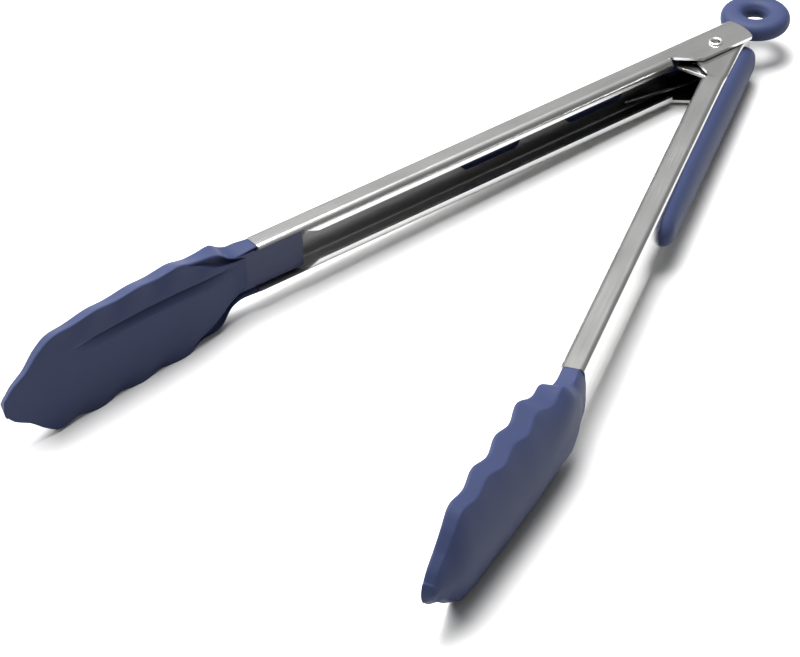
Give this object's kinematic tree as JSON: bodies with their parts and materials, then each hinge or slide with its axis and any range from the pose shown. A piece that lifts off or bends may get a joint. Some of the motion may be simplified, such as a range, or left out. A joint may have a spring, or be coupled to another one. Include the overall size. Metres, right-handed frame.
{
  "type": "spring loaded kitchen tongs",
  "caption": "Locking kitchen tongs: steel channel arms on a hollow rivet with a torsion spring, a sliding lock with a pull ring, silicone grips and scalloped heads.",
  "frame": {"origin": "centre of the hinge rivet, halfway up its length", "axes": "+Z along the rivet, +Y from the hinge towards the pull ring, so the heads point to -Y; +X from the outer arm to the inner arm"},
  "size_m": [0.1436, 0.2894, 0.0332],
  "materials": {
    "brushed_steel": "satin stainless, brushed along the arms",
    "rivet_steel": "bright stainless tube",
    "spring_steel": "drawn wire",
    "slider_steel": "satin stainless",
    "ring_silicone": "matte navy silicone",
    "grip_silicone": "matte navy silicone",
    "core_nylon": "moulded navy nylon",
    "head_silicone": "matte navy silicone"
  },
  "bodies": {
    "outer_side": {"outer_arm": "brushed_steel", "outer_grip_pad": "grip_silicone", "outer_head_core": "core_nylon", "outer_head_skin": "head_silicone", "torsion_spring": "spring_steel"},
    "inner_side": {"inner_arm": "brushed_steel", "inner_grip_pad": "grip_silicone", "inner_head_core": "core_nylon", "inner_head_skin": "head_silicone"},
    "pivot": {"pivot_rivet": "rivet_steel"},
    "lock": {"lock_slider": "slider_steel", "pull_ring": "ring_silicone"}
  },
  "joints": [
    {"name": "arm_hinge", "type": "hinge", "parent": "outer_side", "child": "inner_side", "pos_m": [0, 0, 0], "axis": [0, 0, -1], "range_deg": [0, 29.4], "stiffness_Nm_per_rad": 0.5, "springref_deg": -34.38, "deforming": ["torsion_spring"]},
    {"name": "pivot_turn", "type": "hinge", "parent": "outer_side", "child": "pivot", "pos_m": [0, 0, 0], "axis": [0, 0, -1], "range_deg": [0, 14.7]},
    {"name": "lock_slide", "type": "slide", "parent": "pivot", "child": "lock", "axis": [0, 1, 0], "range_m": [0, 0.0095]}
  ],
  "couplings": [
    {"joint": "pivot_turn", "follows": "arm_hinge", "ratio": 0.5}
  ]
}
